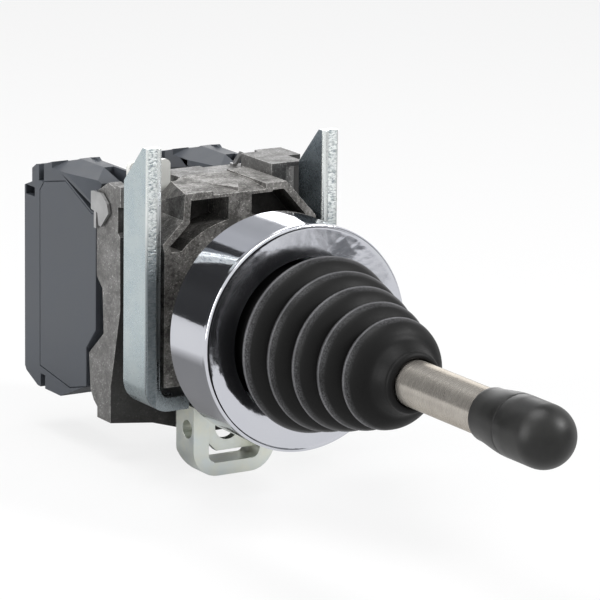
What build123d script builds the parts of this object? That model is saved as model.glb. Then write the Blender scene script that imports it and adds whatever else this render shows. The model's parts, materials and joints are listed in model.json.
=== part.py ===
from build123d import *
from math import sqrt
import os

# An industrial joystick for a round panel hole, in millimetres.
# The origin is the centre of the panel hole on the panel's front face.
# The lever points along -Y, the contact blocks stand behind the panel, +Z is up.

# Running fits and gaps between neighbours
fit_gap = 0.05
shell_gap = 0.1
rest_gap = 0.3

# Bezel and seal
bezel_d = 40.0
bezel_depth = 12.5
bezel_wall = 1.6
rim_lip = 0.8
dish_depth = 3.3
dish_w = 4.9
seal_t = 1.5
seal_stands_out = 0.4

# Neck that passes through the panel
neck_d = 22.2
neck_wall = 1.7
neck_recess = 1.6

# Rubber boot and the ring that clamps its bead
boot_crests = 5
boot_pitch = 5.6
boot_first_step = 8.0
boot_overhang = 1.1
boot_tip_fold = 5.6
boot_fold_depth = 2.3
boot_wall = 1.2
boot_neck_wall = 1.4
boot_lip_len = 5.8
boot_lip_wall = 1.05
boot_grip_gap = 0.15
boot_bead_t = 1.4
boot_bead_gap = 0.8
boot_seat_gap = 0.2
boot_ring_t = 1.5

# Lever: rod, knob, hub, pivot pin and rocker
pivot_y = 8.0
lever_reach = 89.2
rod_r = 4.0
rod_chamfer = 0.4
knob_len = 22.4
knob_tip_t = 9.2
knob_rear_wall = 0.6
knob_wall = 1.35
knob_flare = 6.2
pin_r = 2.0
bush_wall = 1.4
hub_r = 5.0
hub_half_height = 5.0
hub_socket_wall = 2.0
hub_socket_depth = 5.0
rocker_t = 2.0
rocker_arm = 7.0
rocker_pad_r = 1.5
rocker_half_bar = 1.0

# Guide plate and snap ring inside the neck
guide_clearance = 1.0
guide_t = 4.0
guide_step = 0.45
snap_ring_t = 0.8
snap_ring_w = 1.45
snap_ring_bite = 0.55

# Pushers
push_travel = 2.0
push_spare = 0.4
stem_w = 3.0
stem_h = 4.0
foot_t = 2.0
foot_half_h = 2.5
foot_side_gap = 0.5
tab_t = 1.1
tab_inset = 1.0
tab_w = 8.3
tab_top = 24.9
tab_corner = 1.0
tab_frame = 0.7
tab_recess = 0.5

# Locking fork of bent steel plate
fork_half_w = 19.25
fork_t = 3.0
fork_leg_t = 2.5
fork_front = 9.1
fork_depth = 8.2
fork_top = 30.9
fork_throat_gap = 0.2
fork_slope_drop = 6.8
fork_top_flat = 1.7
fork_bend_r = 1.6
fork_notch_half_w = 10.6
fork_notch_depth = 2.4

# Fixing collar casting behind the panel
collar_set_back = 0.7
collar_depth = 13.8
collar_wall = 1.3
collar_top = 22.2
collar_left = 11.3
collar_right = 9.25
collar_rib_left = 5.1
collar_rib_rise = 0.3
collar_waist_out = 0.3
collar_waist_z = 17.5
collar_wing_out = 0.4
collar_left_wing_z = 13.6
collar_right_wing_z = 15.8
collar_wing_t = 1.5
collar_side_gap = 0.95
collar_leg_gap = 1.6
collar_throat_wall = 2.3
collar_ring_r = 17.0
pocket_depth = 7.0
land_left = -2.5
land_right = 2.1
shoulder_w = 4.7
shoulder_drift = 4.2
shoulder_corner = 3.2
arrow_depth = 0.75
arrow_left = -5.6
arrow_len = 5.7
arrow_tip_back = 0.7
arrow_tip_x = -0.2
arrow_half_w = 2.8
boss_half_w = 4.5
boss_wall = 2.5
boss_corner = 1.8

# Loop bracket under the fork
bracket_left = -9.6
bracket_w = 16.6
bracket_wall = 3.1
bracket_bottom = -29.1
bracket_strip = 2.4
bracket_depth = 6.2
bracket_corner = 5.0
bracket_chamfer = 4.0
loop_corner = 1.6
bracket_hole_r = 1.65
bracket_hole_y = 11.4
bracket_hole_z = -20.5
web_set_back = 2.5
web_t = 1.5
web_bottom = -25.3
web_corner = 3.0
web_hole_r = 2.5

# Contact carrier casting
cheek_inset = 0.2
cheek_t = 2.5
cheek_reach = 1.6
post_half_w = 3.9
post_bottom = -24.2
spacer_len = 6.7
spacer_margin = 3.0
spacer_bottom = -17.6
carrier_top = 21.7
upper_bridge_z = 14.0
lower_bridge_top = -15.2
lower_bridge_bottom = -21.8
lower_bridge_reach = 3.4
shoulder_z = 18.0
tower_left = 10.8
tower_top = 24.0
tower_rear = 28.3
tower_wall = 3.1
tower_roof = 0.9
tower_pocket = 3.0

# Screws that hold the carrier to the collar
screw_r = 1.5
screw_head_r = 2.75
screw_head_t = 2.0
screw_upper_z = 17.4
screw_lower_z = -20.9
screw_upper_bite = 9.0
screw_lower_bite = 5.0

# Contact blocks
block_pitch = 25.0
block_w = 10.0
block_rear = 57.5
block_wall = 1.2
block_nose_wall = 1.4
block_top = 22.1
block_crest_rise = 0.5
block_eaves = 20.6
block_far_eaves = 19.6
block_roof_w = 5.0
block_roof_rear = 47.0
block_front_roof_len = 6.0
block_spine_x = 6.9
block_spine_w = 0.7
block_gutter_z = 19.4
block_bottom = -21.0
cover_t = 1.2
cavity_half_h = 15.5
terminal_z = 12.0
terminal_bore_r = 2.5
terminal_head_r = 2.1
terminal_head_t = 2.0
terminal_shank_r = 1.4
terminal_tip = 2.0
wire_hole_r = 1.7

# Contacts and plunger inside a block
plunger_r = 1.6
plunger_nose_len = 4.0
plunger_half_w = 2.6
plunger_shoulder = 4.2
plunger_tail = 4.8
spring_room = 4.4
contact_gap = 2.2
bridge_t = 1.0
bridge_half_w = 1.6
bridge_half_h = 6.0
strip_t = 0.8
strip_half_w = 1.8
strip_end_z = 3.5
clamp_t = 1.2
clamp_half_w = 3.4
clamp_end_z = 9.2
spring_wire_r = 0.3
spring_r = 1.9
spring_turns = 4

# Latch springs of bent sheet
latch_t = 0.5
latch_peg = 1.6
latch_foot_w = 0.6
latch_w = 1.1

# Sizes worked out from the ones above, from the bezel to the neck
bezel_r = bezel_d / 2
neck_r = neck_d / 2
bezel_front = -bezel_depth
skirt_r = bezel_r - bezel_wall
throat_r = bezel_r - rim_lip - dish_w
dish_y = bezel_front + dish_depth
boot_bead_r = skirt_r - boot_bead_gap
boot_bead_front = dish_y + bezel_wall + boot_seat_gap
boot_ring_front = boot_bead_front + boot_bead_t
flange_front = boot_ring_front + boot_ring_t
boot_neck_r = throat_r - rest_gap
boot_ring_bore_r = boot_neck_r - boot_neck_wall
neck_bore_r = neck_r - neck_wall
guide_r = neck_bore_r + guide_step
snap_ring_r = guide_r + snap_ring_bite

# Places along the lever axis, from the fork to the contact blocks
fork_rear = fork_front + fork_depth
collar_front = fork_front + collar_set_back
collar_rear = collar_front + collar_depth
neck_end = collar_rear - neck_recess
guide_seat = pivot_y + hub_r + guide_clearance
guide_rear = guide_seat + guide_t
stem_front = pivot_y + rocker_pad_r + rest_gap
foot_y = collar_rear + push_travel + push_spare
carrier_front = collar_rear + shell_gap
carrier_rear = foot_y + foot_t + push_travel + rest_gap
cheek_front = collar_rear - cheek_reach
block_front = carrier_rear + rest_gap
cavity_front = block_front + block_nose_wall
plunger_front = foot_y + foot_t + rest_gap
plunger_body_front = cavity_front + plunger_nose_len
bridge_y = plunger_body_front + plunger_shoulder
plunger_rear = bridge_y + bridge_t + plunger_tail
cavity_rear = plunger_rear + spring_room
strip_y = bridge_y + bridge_t + contact_gap
clamp_y = strip_y + strip_t + shell_gap
wire_hole_y = clamp_y + clamp_t + wire_hole_r

# Widths and heights behind the panel
block_outer = block_pitch / 2 + block_w / 2
cheek_outer = block_outer - cheek_inset
cheek_inner = cheek_outer - cheek_t
collar_side_x = fork_half_w - fork_t - collar_side_gap
collar_wing_x = collar_side_x + collar_wing_out
collar_throat_r = neck_r + collar_throat_wall
collar_waist_x = collar_left + collar_waist_out
fork_leg_top = -collar_throat_r - fork_throat_gap
fork_leg_bottom = fork_leg_top - fork_leg_t
collar_bottom = fork_leg_top + collar_leg_gap
boss_front = fork_rear + rest_gap
boss_bottom = screw_lower_z - boss_wall
above_all = 2 * collar_top


def facing(y):
    """A plane across the lever axis at y, drawn with X to the right and Z up."""
    return Plane.XZ.offset(-y)


def side(x):
    """A plane along the lever axis at x, drawn with Y to the right and Z up."""
    return Plane.YZ.offset(x)


def tube(outer_r, inner_r, front, rear):
    """A plain ring round the lever axis."""
    with BuildPart() as ring:
        with BuildSketch(facing(front)):
            Circle(outer_r)
            Circle(inner_r, mode=Mode.SUBTRACT)
        extrude(amount=front - rear)
    return ring


# Bezel: a chromed cup with a dished front face and a rounded rim
with BuildPart() as bezel:
    with BuildSketch(Plane.XY):
        with BuildLine():
            Line((bezel_r, -seal_stands_out), (bezel_r, bezel_front + rim_lip / 2))
            ThreePointArc(
                (bezel_r, bezel_front + rim_lip / 2),
                (bezel_r - rim_lip / 2, bezel_front),
                (bezel_r - rim_lip, bezel_front + rim_lip / 2),
            )
            ThreePointArc(
                (bezel_r - rim_lip, bezel_front + rim_lip / 2),
                ((bezel_r + throat_r) / 2 - rim_lip, dish_y - rim_lip),
                (throat_r, dish_y),
            )
            Polyline(
                (throat_r, dish_y),
                (throat_r, dish_y + bezel_wall),
                (skirt_r, dish_y + bezel_wall),
                (skirt_r, -seal_stands_out),
                (bezel_r, -seal_stands_out),
            )
        make_face()
    revolve(axis=Axis.Y)

# Panel seal: a rubber ring that stands a little out of the bezel
panel_seal = tube(skirt_r - shell_gap, neck_r + shell_gap, -seal_t, 0)

# Neck: flanged tube with a counterbore for the guide plate and a groove for its ring
with BuildPart() as neck_barrel:
    with BuildSketch(Plane.XY):
        with BuildLine():
            Polyline(
                (neck_bore_r, flange_front),
                (skirt_r - fit_gap, flange_front),
                (skirt_r - fit_gap, -seal_t),
                (neck_r, -seal_t),
                (neck_r, neck_end),
                (guide_r + fit_gap, neck_end),
                (guide_r + fit_gap, guide_rear + snap_ring_t + fit_gap),
                (snap_ring_r + fit_gap, guide_rear + snap_ring_t + fit_gap),
                (snap_ring_r + fit_gap, guide_rear),
                (guide_r + fit_gap, guide_rear),
                (guide_r + fit_gap, guide_seat),
                (neck_bore_r, guide_seat),
                close=True,
            )
        make_face()
    revolve(axis=Axis.Y)
    with BuildSketch(Plane.XY.offset(-neck_r)):
        with Locations((0, pivot_y)):
            Circle(pin_r + fit_gap / 2)
    extrude(amount=neck_d, mode=Mode.SUBTRACT)

# Pivot pin across the neck, upright, with a spacing bush above and below the hub
pin_half = sqrt(neck_r**2 - pin_r**2) - shell_gap
with BuildPart() as pivot_pin:
    with BuildSketch(Plane.XY.offset(-pin_half)):
        with Locations((0, pivot_y)):
            Circle(pin_r)
    extrude(amount=2 * pin_half)

bush_r = pin_r + bush_wall
bush_low = hub_half_height + shell_gap
bush_high = sqrt(neck_bore_r**2 - bush_r**2) - shell_gap
with BuildPart() as pivot_bushes:
    for z in (bush_low, -bush_high):
        with BuildSketch(Plane.XY.offset(z)):
            with Locations((0, pivot_y)):
                Circle(bush_r)
                Circle(pin_r + fit_gap / 2, mode=Mode.SUBTRACT)
        extrude(amount=bush_high - bush_low)

# Boot: rubber bellows that taper from the bezel to the rod
boot_grip_r = rod_r + boot_grip_gap
boot_lip_r = boot_grip_r + boot_lip_wall
boot_first_r = throat_r + boot_overhang
boot_last_r = rod_r + boot_tip_fold
boot_first_y = dish_y - boot_first_step
boot_last_y = boot_first_y - boot_pitch * (boot_crests - 1)
boot_lip_y = boot_last_y - boot_lip_len
boot_shoulder_y = boot_last_y - boot_lip_len * 2 / 3


def bellows(inset, neck_radius, neck_y):
    """Points of the folds from the bezel to the rod, moved inwards by inset."""
    taper = (boot_last_r - boot_first_r) / (boot_crests - 1)
    points = [(neck_radius, neck_y), (neck_radius, dish_y - inset)]
    for i in range(boot_crests):
        crest_y = boot_first_y - boot_pitch * i
        crest_r = boot_first_r + taper * i - inset
        points.append((crest_r - taper / 2 - boot_fold_depth, crest_y + boot_pitch / 2))
        points.append((crest_r, crest_y))
    points.append((boot_last_r - inset - boot_wall, boot_last_y - boot_lip_len / 3))
    return points


with BuildPart() as boot:
    with BuildSketch(Plane.XY):
        with BuildLine():
            Polyline(
                (boot_bead_r, boot_ring_front),
                (boot_bead_r, boot_bead_front),
                *bellows(0, boot_neck_r, boot_bead_front),
                (boot_lip_r + boot_wall, boot_shoulder_y),
                (boot_lip_r, boot_lip_y),
                (boot_grip_r, boot_lip_y),
                (boot_grip_r, boot_shoulder_y + boot_wall),
                *reversed(bellows(boot_wall, boot_ring_bore_r, boot_ring_front)),
                close=True,
            )
        make_face()
    revolve(axis=Axis.Y)

# Boot ring: a steel ring that clamps the boot's bead inside the bezel
boot_ring = tube(skirt_r - shell_gap, boot_ring_bore_r, boot_ring_front, flange_front)

# Lever rod and knob
knob_tip = -lever_reach
knob_rear = knob_tip + knob_len
knob_r = rod_r + knob_wall
knob_rear_r = rod_r + knob_rear_wall
rod_front = knob_tip + knob_tip_t
rod_rear = pivot_y - hub_r
with BuildPart() as lever_rod:
    with BuildSketch(facing(rod_rear)):
        Circle(rod_r)
    extrude(amount=rod_rear - rod_front)
    chamfer(lever_rod.edges().filter_by(GeomType.CIRCLE), length=rod_chamfer)

knob_centre = knob_tip + knob_r
knob_bore_r = rod_r + fit_gap / 2
with BuildPart() as knob:
    with BuildSketch(Plane.XY):
        with BuildLine():
            Line((knob_bore_r, knob_rear), (knob_rear_r, knob_rear))
            ThreePointArc(
                (knob_rear_r, knob_rear),
                (knob_rear_r + (knob_r - knob_rear_r) * 2 / 3, knob_rear - knob_flare / 2),
                (knob_r, knob_rear - knob_flare),
            )
            Line((knob_r, knob_rear - knob_flare), (knob_r, knob_centre))
            RadiusArc((knob_r, knob_centre), (0, knob_tip), knob_r)
            Polyline(
                (0, knob_tip),
                (0, rod_front),
                (knob_bore_r, rod_front),
                (knob_bore_r, knob_rear),
            )
        make_face()
    revolve(axis=Axis.Y)

# Hub: the socket for the rod, slotted for the rocker and bored for the pin
hub_socket_r = rod_r + hub_socket_wall
hub_socket_front = rod_rear - hub_socket_depth
with BuildPart() as lever_hub:
    with BuildSketch(Plane.XY.offset(-hub_half_height)):
        with Locations((0, pivot_y)):
            Circle(hub_r)
    extrude(amount=2 * hub_half_height)
    with BuildSketch(facing(pivot_y)):
        Circle(hub_socket_r)
        Rectangle(2 * hub_socket_r, 2 * hub_half_height, mode=Mode.INTERSECT)
    extrude(amount=pivot_y - hub_socket_front)
    with BuildSketch(facing(hub_socket_front)):
        Circle(knob_bore_r)
    extrude(amount=hub_socket_front - rod_rear, mode=Mode.SUBTRACT)
    with BuildSketch(Plane.XY.offset(-hub_half_height)):
        with Locations((0, pivot_y)):
            Circle(pin_r + fit_gap)
    extrude(amount=2 * hub_half_height, mode=Mode.SUBTRACT)
    with BuildSketch(side(-hub_socket_r)):
        with Locations((pivot_y, 0)):
            Rectangle(2 * hub_r - 2 * fit_gap, rocker_t + 2 * fit_gap)
    extrude(amount=2 * hub_socket_r, mode=Mode.SUBTRACT)

# Rocker: a flat steel plate on the same pin, whose rounded ends press the pushers
with BuildPart() as rocker_arms:
    with BuildSketch(Plane.XY.offset(-rocker_t / 2)):
        with Locations((0, pivot_y)):
            Circle(hub_r - 2 * fit_gap)
            Rectangle(2 * rocker_arm, 2 * rocker_half_bar)
        with Locations((-rocker_arm, pivot_y), (rocker_arm, pivot_y)):
            Circle(rocker_pad_r)
        with Locations((0, pivot_y)):
            Circle(pin_r + fit_gap, mode=Mode.SUBTRACT)
    extrude(amount=rocker_t)

# Guide plate in the neck's counterbore, with a slot for each pusher's stem
with BuildPart() as guide_plate:
    with BuildSketch(facing(guide_seat)):
        Circle(guide_r)
        with Locations((-rocker_arm, 0), (rocker_arm, 0)):
            Rectangle(stem_w + 2 * shell_gap, stem_h + 2 * shell_gap, mode=Mode.SUBTRACT)
        Circle(guide_r / 3, mode=Mode.SUBTRACT)
    extrude(amount=-guide_t)

# Snap ring that keeps the guide plate on its shoulder, open at the bottom
with BuildPart() as snap_ring:
    with BuildSketch(facing(guide_rear)):
        Circle(snap_ring_r)
        Circle(snap_ring_r - snap_ring_w, mode=Mode.SUBTRACT)
        with Locations((0, -snap_ring_r)):
            Rectangle(stem_h, 2 * guide_t, mode=Mode.SUBTRACT)
    extrude(amount=-snap_ring_t)

# Pushers: a stem, a foot and a framed tab, the same moulding twice
foot_inner = post_half_w + foot_side_gap
foot_outer = cheek_inner - foot_side_gap
tab_outer = foot_outer - tab_inset
tab_inner = tab_outer - tab_w
tab_centre = -(tab_outer + tab_inner) / 2
with BuildPart() as pusher_left:
    with BuildSketch(facing(stem_front)):
        with Locations((-rocker_arm, 0)):
            Rectangle(stem_w, stem_h)
    extrude(amount=stem_front - foot_y)
    with BuildSketch(facing(foot_y)):
        with Locations((-(foot_outer + foot_inner) / 2, 0)):
            Rectangle(foot_outer - foot_inner, 2 * foot_half_h)
    extrude(amount=-foot_t)
    with BuildSketch(facing(foot_y)):
        with Locations((tab_centre, tab_top / 2)):
            Rectangle(tab_w, tab_top)
    extrude(amount=-tab_t)
    fillet(pusher_left.edges().filter_by(Axis.Y).group_by(Axis.Z)[-1], radius=tab_corner)
    with BuildSketch(facing(foot_y)):
        with Locations((-tab_outer + tab_w / 3, (tab_top + foot_half_h) / 2)):
            Rectangle(2 * (tab_w / 3 - tab_frame), tab_top - foot_half_h - 2 * tab_frame)
    extrude(amount=-tab_recess, mode=Mode.SUBTRACT)

# Fixing collar: a die casting with an open-fronted pocket each side of a solid land
collar_right_top = collar_top + collar_rib_rise
collar_outline = [
    (-collar_left, collar_top),
    (-collar_waist_x, collar_waist_z),
    (-collar_wing_x, collar_left_wing_z),
    (-collar_side_x, collar_left_wing_z - collar_wing_t),
    (-collar_side_x, collar_bottom),
    (collar_side_x, collar_bottom),
    (collar_side_x, collar_right_wing_z - collar_wing_t),
    (collar_side_x, collar_right_wing_z),
    (collar_right, collar_right_top),
    (collar_rib_left, collar_right_top),
    (collar_rib_left, collar_top),
]
with BuildPart() as fixing_collar:
    with BuildSketch(facing(collar_front)):
        with BuildLine():
            Polyline(*collar_outline, close=True)
        make_face()
        Circle(collar_throat_r)
        Circle(neck_r + fit_gap, mode=Mode.SUBTRACT)
    extrude(amount=-collar_depth)
    with BuildSketch(facing(boss_front)):
        with Locations((0, (boss_bottom + collar_bottom) / 2)):
            Rectangle(2 * boss_half_w, collar_bottom - boss_bottom)
        fillet(vertices().group_by(Axis.Y)[0], radius=boss_corner)
        Circle(neck_r + fit_gap, mode=Mode.SUBTRACT)
    extrude(amount=boss_front - collar_rear)
    with BuildSketch(facing(cheek_front - rest_gap)):
        with Locations((-cheek_outer, 0), (cheek_outer, 0)):
            Rectangle(2 * (cheek_t + rest_gap), above_all)
    extrude(amount=-collar_depth, mode=Mode.SUBTRACT)
    # The pockets keep an even wall, the land between them and the ring round the throat
    with BuildSketch(facing(collar_front)):
        with BuildLine():
            Polyline(*collar_outline, close=True)
        make_face()
        offset(amount=-collar_wall, kind=Kind.INTERSECTION)
        Circle(collar_ring_r, mode=Mode.SUBTRACT)
        with Locations(((land_left + land_right) / 2, collar_top / 2)):
            Rectangle(land_right - land_left, above_all, mode=Mode.SUBTRACT)
        with Locations((0, collar_bottom)):
            Rectangle(
                above_all,
                2 * (collar_left_wing_z - collar_wing_t - collar_bottom),
                mode=Mode.SUBTRACT,
            )
    extrude(amount=-pocket_depth, mode=Mode.SUBTRACT)
    # The left shoulder is cut back more and more towards the rear
    with BuildSketch(facing(collar_front)):
        with BuildLine():
            Polyline(
                (-collar_left, collar_top),
                (-collar_left, collar_top + shoulder_w),
                (-collar_left - 2 * shoulder_w, collar_top + shoulder_w),
                (-collar_left - 2 * shoulder_w, collar_top - shoulder_w),
                (-collar_left - shoulder_w, collar_top - shoulder_w),
                close=True,
            )
        make_face()
    shoulder_slant = sqrt(collar_depth**2 + shoulder_drift**2)
    extrude(amount=shoulder_slant, dir=(shoulder_drift, collar_depth, 0), mode=Mode.SUBTRACT)
    with BuildSketch(Plane.XY.offset(collar_waist_z)):
        with BuildLine():
            Polyline(
                (shoulder_drift - collar_left, collar_rear - shoulder_corner),
                (shoulder_drift - collar_left + shoulder_corner, collar_rear),
                (-2 * collar_left, collar_rear),
                (-2 * collar_left, collar_rear - shoulder_corner),
                close=True,
            )
        make_face()
    extrude(amount=above_all, mode=Mode.SUBTRACT)
    # The top falls away to the front, round a raised triangle that points forwards
    with BuildSketch(side(arrow_left)):
        with BuildLine():
            Polyline(
                (collar_front, collar_top),
                (collar_front, collar_top - arrow_depth),
                (collar_front + arrow_len, collar_top),
                close=True,
            )
        make_face()
    extrude(amount=collar_rib_left - arrow_left, mode=Mode.SUBTRACT)
    with BuildSketch(Plane.XY.offset(collar_top - arrow_depth)):
        with BuildLine():
            Polyline(
                (arrow_tip_x, collar_front + arrow_tip_back),
                (arrow_tip_x + arrow_half_w, collar_front + arrow_len),
                (arrow_tip_x - arrow_half_w, collar_front + arrow_len),
                close=True,
            )
        make_face()
    extrude(amount=arrow_depth)
    for z, bite in ((screw_upper_z, screw_upper_bite), (screw_lower_z, screw_lower_bite)):
        with BuildSketch(facing(collar_rear)):
            with Locations((0, z)):
                Circle(screw_r)
        extrude(amount=bite + rest_gap, mode=Mode.SUBTRACT)

# Locking fork: a U of thick plate whose arms stand up beside the collar
fork_inner = fork_half_w - fork_t
with BuildPart() as locking_fork:
    with BuildSketch(facing(fork_front)):
        with BuildLine():
            Polyline(
                (-fork_half_w, fork_top),
                (-fork_half_w, fork_leg_bottom),
                (fork_half_w, fork_leg_bottom),
                (fork_half_w, fork_top),
                (fork_inner, fork_top),
                (fork_inner, fork_leg_top),
                (-fork_inner, fork_leg_top),
                (-fork_inner, fork_top),
                close=True,
            )
        make_face()
        inner_corners = vertices().group_by(Axis.Y)[1]
        fillet(inner_corners, radius=fork_bend_r)
        outer_corners = vertices().group_by(Axis.Y)[0]
        fillet(outer_corners, radius=fork_bend_r + fork_t)
    extrude(amount=-fork_depth)
    with BuildSketch(side(-fork_half_w)):
        with BuildLine():
            Polyline(
                (fork_front + fork_top_flat, fork_top),
                (fork_rear, fork_top),
                (fork_rear, fork_top - fork_slope_drop),
                close=True,
            )
        make_face()
    extrude(amount=2 * fork_half_w, mode=Mode.SUBTRACT)
    with BuildSketch(facing(fork_front)):
        with Locations((0, fork_leg_top)):
            Rectangle(2 * fork_notch_half_w, 4 * fork_leg_t)
    extrude(amount=-fork_notch_depth, mode=Mode.SUBTRACT)

# Loop bracket: two flanges, a bottom strip and a pierced web, hung under the fork
bracket_right = bracket_left + bracket_w
bracket_rear = fork_front + bracket_depth
loop_left = bracket_left + bracket_wall
loop_right = bracket_right - bracket_wall
loop_bottom = bracket_bottom + bracket_strip
web_front = fork_front + web_set_back
with BuildPart() as loop_bracket:
    for left, right, bottom, corner, mode in (
        (bracket_left, bracket_right, bracket_bottom, bracket_corner, Mode.ADD),
        (loop_left, loop_right, loop_bottom, loop_corner, Mode.SUBTRACT),
    ):
        with BuildSketch(facing(fork_front)):
            with BuildLine():
                Polyline(
                    (left, fork_leg_bottom),
                    (left, bottom),
                    (right, bottom),
                    (right, fork_leg_bottom),
                    close=True,
                )
            make_face()
            fillet(vertices().group_by(Axis.Y)[0], radius=corner)
        extrude(amount=-bracket_depth, mode=mode)
    with BuildSketch(facing(web_front)):
        with BuildLine():
            Polyline(
                (loop_left, fork_leg_bottom),
                (loop_left, web_bottom + web_corner),
                (loop_left + web_corner, web_bottom),
                (loop_right, web_bottom),
                (loop_right, fork_leg_bottom),
                close=True,
            )
        make_face()
        with Locations(((bracket_left + bracket_right) / 2, screw_lower_z)):
            Circle(web_hole_r, mode=Mode.SUBTRACT)
    extrude(amount=-web_t)
    for x in (bracket_left, loop_right):
        with BuildSketch(side(x)):
            with Locations((bracket_hole_y, bracket_hole_z)):
                Circle(bracket_hole_r)
        extrude(amount=bracket_wall, mode=Mode.SUBTRACT)
    with BuildSketch(side(bracket_left)):
        with BuildLine():
            Polyline(
                (bracket_rear, bracket_bottom),
                (bracket_rear, bracket_bottom + bracket_chamfer),
                (bracket_rear - bracket_strip, bracket_bottom),
                close=True,
            )
        make_face()
    extrude(amount=bracket_w, mode=Mode.SUBTRACT)

# Height that clears the collar's right flank at x, for what stands over it
flank_run = collar_side_x - collar_right
flank_drop = collar_right_top - collar_right_wing_z
flank_lift = rest_gap * sqrt(flank_run**2 + flank_drop**2) / flank_run


def above_flank(x):
    """The lowest height at x that stays clear of the collar's right flank."""
    return collar_right_top - (x - collar_right) * flank_drop / flank_run + flank_lift


# Carrier: a casting of two cheeks, a post, two bridges and a tower
cheek_outline = [
    (cheek_front + 0.2, carrier_top - 1.4),
    (cheek_front + 0.9, carrier_top - 2.6),
    (cheek_front + 0.9, upper_bridge_z - 0.7),
    (cheek_front + 0.15, upper_bridge_z - 1.4),
    (cheek_front, -0.5),
    (cheek_front + 1.8, -8.1),
    (cheek_front + lower_bridge_reach, lower_bridge_top),
    (cheek_front + 4.1, lower_bridge_bottom),
    (cheek_front + 5.5, lower_bridge_bottom),
    (cheek_front + 9.6, -18.9),
    (cheek_front + 10.8, -17.2),
    (cheek_front + 11.4, -10.6),
    (cheek_front + 6.0, -5.9),
    (cheek_front + 6.5, 2.2),
    (block_front, 4.1),
    (block_front, 19.4),
    (cheek_front + 4.4, carrier_top),
    (cheek_front + 0.6, carrier_top - 0.7),
]
with BuildPart() as contact_carrier:
    for x in (-cheek_outer, cheek_inner):
        with BuildSketch(side(x)):
            with BuildLine():
                Polyline(*cheek_outline, close=True)
            make_face()
        extrude(amount=cheek_t)
    # The post and the upper bridge to the right cheek
    with BuildSketch(facing(carrier_front)):
        with BuildLine():
            Polyline(
                (-post_half_w, carrier_top),
                (cheek_outer, carrier_top),
                (cheek_outer, upper_bridge_z),
                (post_half_w, upper_bridge_z),
                (post_half_w, post_bottom),
                (-post_half_w, post_bottom),
                close=True,
            )
        make_face()
    extrude(amount=carrier_front - carrier_rear)
    # The lower bridge to the left cheek
    lower_bridge_front = cheek_front + lower_bridge_reach
    with BuildSketch(facing(lower_bridge_front)):
        with BuildLine():
            Polyline(
                (-cheek_outer, lower_bridge_top),
                (-cheek_outer, lower_bridge_bottom),
                (-cheek_outer / 2, lower_bridge_bottom - 1.0),
                (-post_half_w, post_bottom),
                (-post_half_w, lower_bridge_top),
                close=True,
            )
        make_face()
    extrude(amount=lower_bridge_front - carrier_rear)
    # The left cheek's shoulder beside the collar
    shoulder_right = -collar_waist_x - rest_gap
    with BuildSketch(facing(cheek_front)):
        with Locations(((shoulder_right - cheek_outer) / 2, (shoulder_z + carrier_top) / 2)):
            Rectangle(shoulder_right + cheek_outer, carrier_top - shoulder_z)
    extrude(amount=cheek_front - carrier_front)
    # The spacer between the contact blocks
    spacer_rear = carrier_rear + spacer_len
    spacer_top = screw_upper_z + spacer_margin
    with BuildSketch(facing(carrier_rear)):
        with Locations((0, (spacer_top + spacer_bottom) / 2)):
            Rectangle(block_pitch - block_w - 2 * shell_gap, spacer_top - spacer_bottom)
    extrude(amount=-spacer_len)
    # The tower over the collar's right flank, set back at its right
    with BuildSketch(facing(boss_front)):
        with BuildLine():
            Polyline(
                (tower_left, above_flank(tower_left)),
                (tower_left, tower_top),
                (cheek_outer, tower_top),
                (cheek_outer, above_flank(cheek_outer)),
                close=True,
            )
        make_face()
    extrude(amount=boss_front - tower_rear)
    with BuildSketch(facing(boss_front)):
        with Locations((cheek_outer, 0)):
            Rectangle(2 * (cheek_outer - tower_left - tower_wall), 2 * (tower_top - tower_roof))
    extrude(amount=-tower_pocket, mode=Mode.SUBTRACT)
    with BuildSketch(facing(carrier_front)):
        with Locations((0, screw_upper_z), (0, screw_lower_z)):
            Circle(screw_r + shell_gap)
    extrude(amount=carrier_front - spacer_rear, mode=Mode.SUBTRACT)

# Screws through the carrier's post into the collar
with BuildPart() as carrier_screws:
    for z, seat, bite in (
        (screw_upper_z, spacer_rear, screw_upper_bite),
        (screw_lower_z, carrier_rear, screw_lower_bite),
    ):
        with BuildSketch(facing(seat)):
            with Locations((0, z)):
                Circle(screw_r)
        extrude(amount=seat - collar_rear + bite)
        with BuildSketch(facing(seat)):
            with Locations((0, z)):
                Circle(screw_head_r)
        extrude(amount=-screw_head_t)

# Left latch spring: a bright sheet clip with a leg, pegged to the left cheek
latch_outline = [
    (block_front + 0.8, 19.4),
    (block_front, 19.6),
    (block_front - 3.0, 19.6),
    (block_front - 5.0, 18.1),
    (block_front - 5.6, 16.5),
    (block_front - 2.8, 13.6),
    (block_front - 2.0, 13.7),
    (block_front - 1.5, 15.9),
    (block_front - 1.2, 15.9),
    (block_front - 1.1, 13.0),
    (block_front - 0.3, 13.0),
    (block_front - 0.3, 16.0),
    (block_front + 0.8, 16.2),
]
latch_x = -block_outer - fit_gap - latch_t
with BuildPart() as latch_spring_left:
    with BuildSketch(side(latch_x)):
        with BuildLine():
            Polyline(*latch_outline, close=True)
        make_face()
    extrude(amount=latch_t)
    with BuildSketch(side(latch_x)):
        with Locations((block_front - 3.8, 17.4)):
            Rectangle(latch_peg, latch_peg)
    extrude(amount=-cheek_outer - latch_x)

# Right latch spring: a bent strip whose foot lies on the bridge behind the tower
with BuildPart() as latch_spring_right:
    with BuildSketch(facing(tower_rear + fit_gap)):
        with BuildLine():
            Polyline(
                (tower_left - 1.0 - latch_foot_w, carrier_top),
                (tower_left - 0.8, carrier_top),
                (tower_left + 0.8, tower_top - 0.1),
                (tower_left + 0.4, tower_top + 0.1),
                (tower_left - 1.1, carrier_top + latch_t),
                (tower_left - 1.0 - latch_foot_w, carrier_top + latch_t),
                close=True,
            )
        make_face()
    extrude(amount=-latch_w)

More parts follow.
